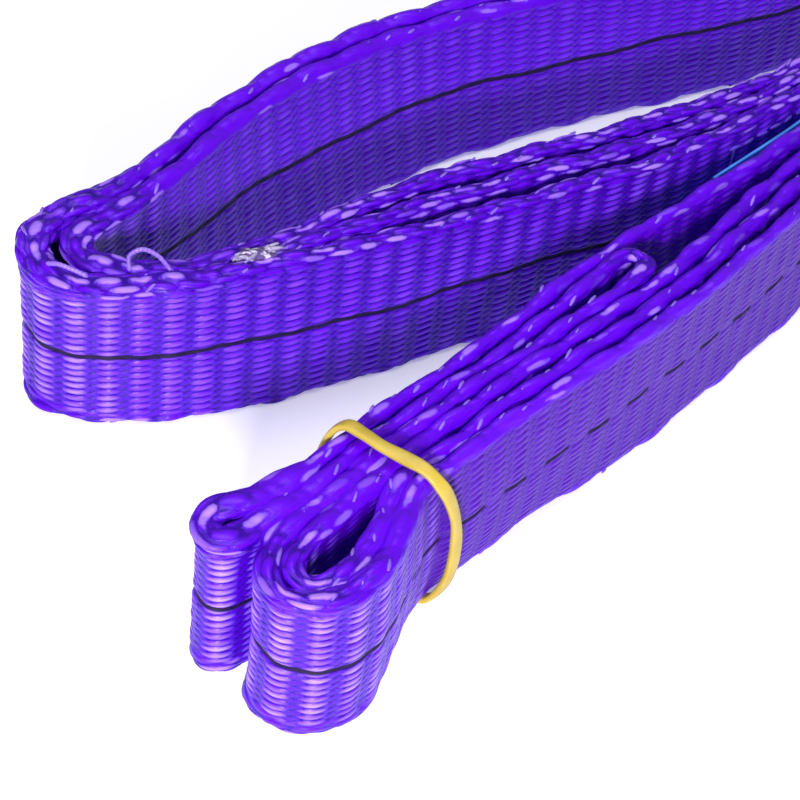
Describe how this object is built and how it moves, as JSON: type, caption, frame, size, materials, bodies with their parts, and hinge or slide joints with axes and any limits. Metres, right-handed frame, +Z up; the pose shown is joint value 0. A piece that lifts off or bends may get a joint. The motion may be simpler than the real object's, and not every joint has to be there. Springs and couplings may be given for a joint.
{
  "type": "flat web sling",
  "caption": "Folded duplex flat web sling: a long strip of ribbed webbing standing on edge, with an open eye, sewn lap, a blue label and a rubber band round the folds.",
  "frame": {"origin": "under the middle of the whole outline, on the ground that the webbing stands on", "axes": "+X along the folded runs towards the open eye, +Z up across the webbing's width"},
  "size_m": [0.5306, 0.107, 0.0309],
  "materials": {
    "webbing": "ribbed violet polyester weave with a soft yarn sheen",
    "thread": "violet polyester sewing thread",
    "identity_label": "smooth blue woven label, blank",
    "rubber": "yellow natural rubber, slightly translucent"
  },
  "bodies": {
    "banded_bundle": {"right_turn_outer_near": "webbing", "second_run_outer_ply": "webbing", "left_turn_outer_ply": "webbing", "first_run_outer_ply": "webbing", "eye_1_right_fold": "webbing", "eye_1_middle_leg": "webbing", "eye_1_left_fold": "webbing", "eye_1_far_leg": "webbing", "eye_1_far_turn": "webbing", "first_run_inner_ply": "webbing", "left_turn_inner_ply": "webbing", "second_run_inner_ply": "webbing", "right_turn_inner_near": "webbing", "eye_1_stitching_far": "thread", "eye_1_stitching_near": "thread"},
    "front_strand": {"front_run_lap_ply": "webbing", "right_turn_outer_far": "webbing", "right_turn_inner_far": "webbing", "front_run_outer_ply": "webbing", "left_loop_outer_front": "webbing", "left_loop_inner_front": "webbing", "front_run_inner_ply": "webbing", "lap_stitching_near": "thread", "lap_stitching_far": "thread"},
    "back_strand": {"left_loop_outer_back": "webbing", "back_run_outer_ply": "webbing", "back_run_inner_ply": "webbing", "left_loop_inner_back": "webbing", "eye_2_stitching_far": "thread", "eye_2_stitching_near": "thread"},
    "second_eye": {"eye_2_far_leg": "webbing", "eye_2_bow": "webbing", "eye_2_near_leg": "webbing"},
    "identity_label": {"identity_label": "identity_label", "identity_label_stitching": "thread"},
    "rubber_band": {"rubber_band": "rubber"}
  },
  "joints": [
    {"name": "front_strand_swing", "type": "hinge", "parent": "banded_bundle", "child": "front_strand", "pos_m": [0.04752, -0.01976, 0], "axis": [0, 0, -1], "range_deg": [0, 30]},
    {"name": "back_strand_swing", "type": "hinge", "parent": "front_strand", "child": "back_strand", "pos_m": [-0.24648, 0.03914, 0], "axis": [0, 0, 1], "range_deg": [0, 35]},
    {"name": "second_eye_swing", "type": "hinge", "parent": "back_strand", "child": "second_eye", "pos_m": [0.05362, 0.00024, 0], "axis": [0, 0, 1], "range_deg": [-20, 20]},
    {"name": "identity_label_lift", "type": "hinge", "parent": "front_strand", "child": "identity_label", "pos_m": [-0.07838, -0.01421, 0], "axis": [0, 0, -1], "range_deg": [0, 2.5]},
    {"name": "rubber_band_slide", "type": "slide", "parent": "banded_bundle", "child": "rubber_band", "axis": [1, 0, 0], "range_m": [0, 0.018]}
  ]
}
